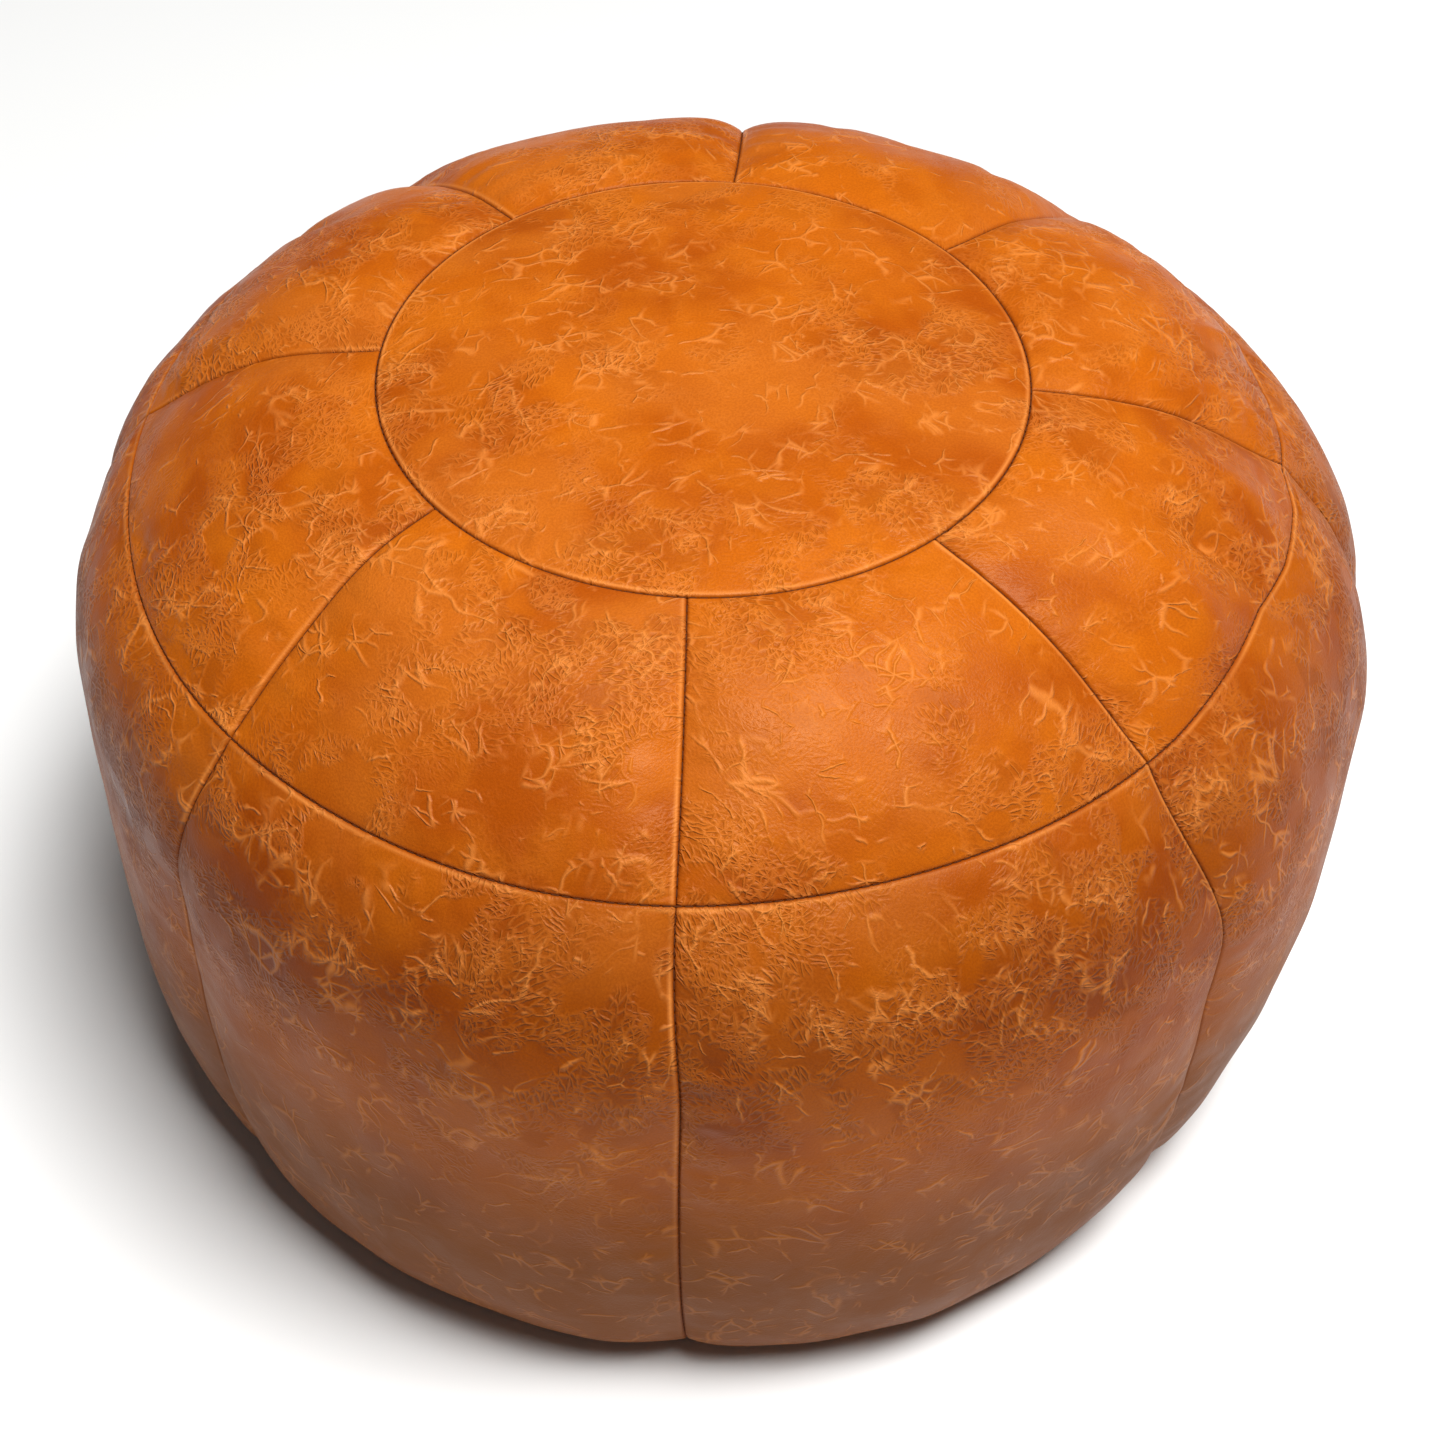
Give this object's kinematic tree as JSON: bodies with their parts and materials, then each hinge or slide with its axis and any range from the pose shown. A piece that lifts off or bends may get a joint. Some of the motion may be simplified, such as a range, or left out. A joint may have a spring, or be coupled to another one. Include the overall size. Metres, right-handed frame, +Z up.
{
  "type": "round leather floor pouf",
  "caption": "Round stuffed floor pouf: a pieced leather cover of radial top segments and side panels, closed by a zip underneath.",
  "frame": {"origin": "on the floor at the middle of the base", "axes": "+Z up along the pouf's axis; -Y is the front, where a side seam faces the viewer; the zip underneath runs along X and closes towards +X"},
  "size_m": [0.55, 0.55, 0.35],
  "materials": {
    "cover_leather": "waxed tan leather with fine crackle and pale pull-up veins, satin",
    "base_leather": "the same tan leather, matte",
    "seam_thread": "dark brown bonded polyester thread, matte",
    "zip_tape": "brown woven polyester tape, matte",
    "zip_coil": "brown nylon coil, satin",
    "zip_metal": "antique brass plating, satin",
    "sack_cloth": "unbleached calico, matte",
    "filling": "packed cotton wadding, matte"
  },
  "bodies": {
    "pouf": {"top_centre": "cover_leather", "top_segment_1": "cover_leather", "top_segment_2": "cover_leather", "top_segment_3": "cover_leather", "top_segment_4": "cover_leather", "top_segment_5": "cover_leather", "top_segment_6": "cover_leather", "top_segment_7": "cover_leather", "top_segment_8": "cover_leather", "side_panel_1": "cover_leather", "side_panel_2": "cover_leather", "side_panel_3": "cover_leather", "side_panel_4": "cover_leather", "side_panel_5": "cover_leather", "side_panel_6": "cover_leather", "side_panel_7": "cover_leather", "side_panel_8": "cover_leather", "base_panel_back": "base_leather", "base_panel_front": "base_leather", "crown_seam_thread": "seam_thread", "segment_seam_thread": "seam_thread", "rim_seam_thread": "seam_thread", "side_seam_thread": "seam_thread", "base_seam_thread": "seam_thread", "zip_stitching": "seam_thread", "zip_tape_back": "zip_tape", "zip_tape_front": "zip_tape", "zip_coil_back": "zip_coil", "zip_coil_front": "zip_coil", "zip_top_stops": "zip_metal", "zip_bottom_stop": "zip_metal", "sack_top": "sack_cloth", "sack_wall": "sack_cloth", "sack_base": "sack_cloth", "filling": "filling"},
    "zip_slider": {"zip_slider": "zip_metal"},
    "zip_pull_tab": {"zip_pull_tab": "zip_metal"}
  },
  "joints": [
    {"name": "zip_slide", "type": "slide", "parent": "pouf", "child": "zip_slider", "axis": [-1, 0, 0], "range_m": [0, 0.336], "deforming": ["zip_coil_back", "zip_coil_front"]},
    {"name": "pull_tab_swing", "type": "hinge", "parent": "zip_slider", "child": "zip_pull_tab", "pos_m": [0.168, 0, 0.00435], "axis": [0, -1, 0], "range_deg": [0, 150]}
  ]
}
